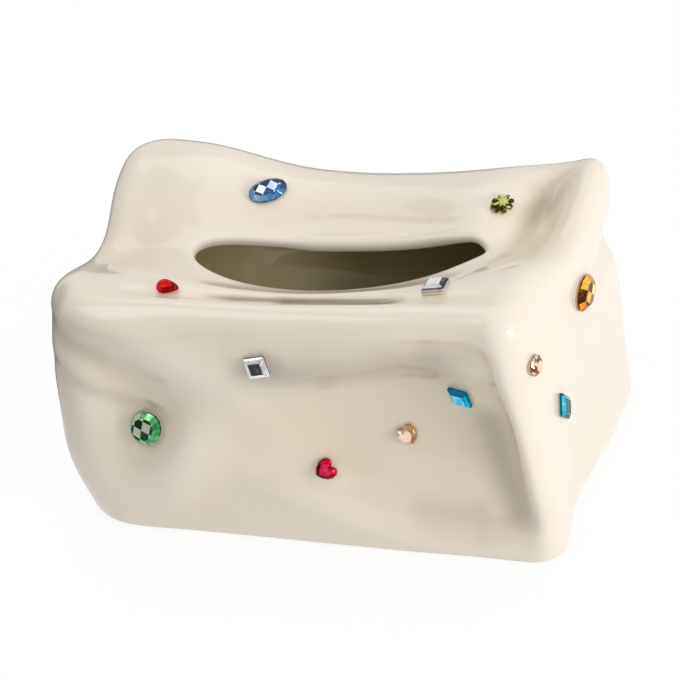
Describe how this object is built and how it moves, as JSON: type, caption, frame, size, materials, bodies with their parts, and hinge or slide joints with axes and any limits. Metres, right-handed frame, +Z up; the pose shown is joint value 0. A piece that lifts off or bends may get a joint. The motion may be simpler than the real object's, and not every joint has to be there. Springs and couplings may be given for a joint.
{
  "type": "tissue box cover",
  "caption": "Hand-shaped glazed ceramic tissue box cover with a long oval slot in its dished top, an open bottom and glued-on cut acrylic stones.",
  "frame": {"origin": "middle of the cover's box, on the plane that its foot rim stands on", "axes": "+X to the right along the length, +Y from the front wall to the back wall, +Z up"},
  "size_m": [0.2625, 0.1522, 0.1402],
  "materials": {
    "glaze": "gloss",
    "acrylic_blue": "gloss",
    "acrylic_red": "gloss",
    "acrylic_olive": "gloss",
    "acrylic_clear": "gloss",
    "acrylic_green": "gloss",
    "acrylic_crimson": "gloss",
    "acrylic_peach": "gloss",
    "acrylic_cyan": "gloss",
    "acrylic_amber": "gloss",
    "acrylic_teal": "gloss",
    "acrylic_violet": "gloss",
    "acrylic_rose": "gloss",
    "acrylic_aqua": "gloss",
    "foil": "mirror",
    "glue": "gloss"
  },
  "bodies": {
    "root": {"cover_shell": "glaze", "stone_blue_oval": "acrylic_blue", "foil_blue_oval": "foil", "glue_blue_oval": "glue", "stone_red_pear": "acrylic_red", "foil_red_pear": "foil", "glue_red_pear": "glue", "stone_olive_flower": "acrylic_olive", "foil_olive_flower": "foil", "glue_olive_flower": "glue", "stone_clear_square_top": "acrylic_clear", "foil_clear_square_top": "foil", "glue_clear_square_top": "glue", "stone_clear_square_front": "acrylic_clear", "foil_clear_square_front": "foil", "glue_clear_square_front": "glue", "stone_green_oval": "acrylic_green", "foil_green_oval": "foil", "glue_green_oval": "glue", "stone_red_heart": "acrylic_crimson", "foil_red_heart": "foil", "glue_red_heart": "glue", "stone_peach_heart": "acrylic_peach", "foil_peach_heart": "foil", "glue_peach_heart": "glue", "stone_cyan_rhombus": "acrylic_cyan", "foil_cyan_rhombus": "foil", "glue_cyan_rhombus": "glue", "stone_peach_round": "acrylic_peach", "foil_peach_round": "foil", "glue_peach_round": "glue", "stone_amber_oval": "acrylic_amber", "foil_amber_oval": "foil", "glue_amber_oval": "glue", "stone_teal_rhombus": "acrylic_teal", "foil_teal_rhombus": "foil", "glue_teal_rhombus": "glue", "stone_violet_oval": "acrylic_violet", "foil_violet_oval": "foil", "glue_violet_oval": "glue", "stone_clear_square_back": "acrylic_clear", "foil_clear_square_back": "foil", "glue_clear_square_back": "glue", "stone_rose_heart": "acrylic_rose", "foil_rose_heart": "foil", "glue_rose_heart": "glue", "stone_aqua_rhombus": "acrylic_aqua", "foil_aqua_rhombus": "foil", "glue_aqua_rhombus": "glue", "stone_amber_round": "acrylic_amber", "foil_amber_round": "foil", "glue_amber_round": "glue"}
  },
  "joints": []
}
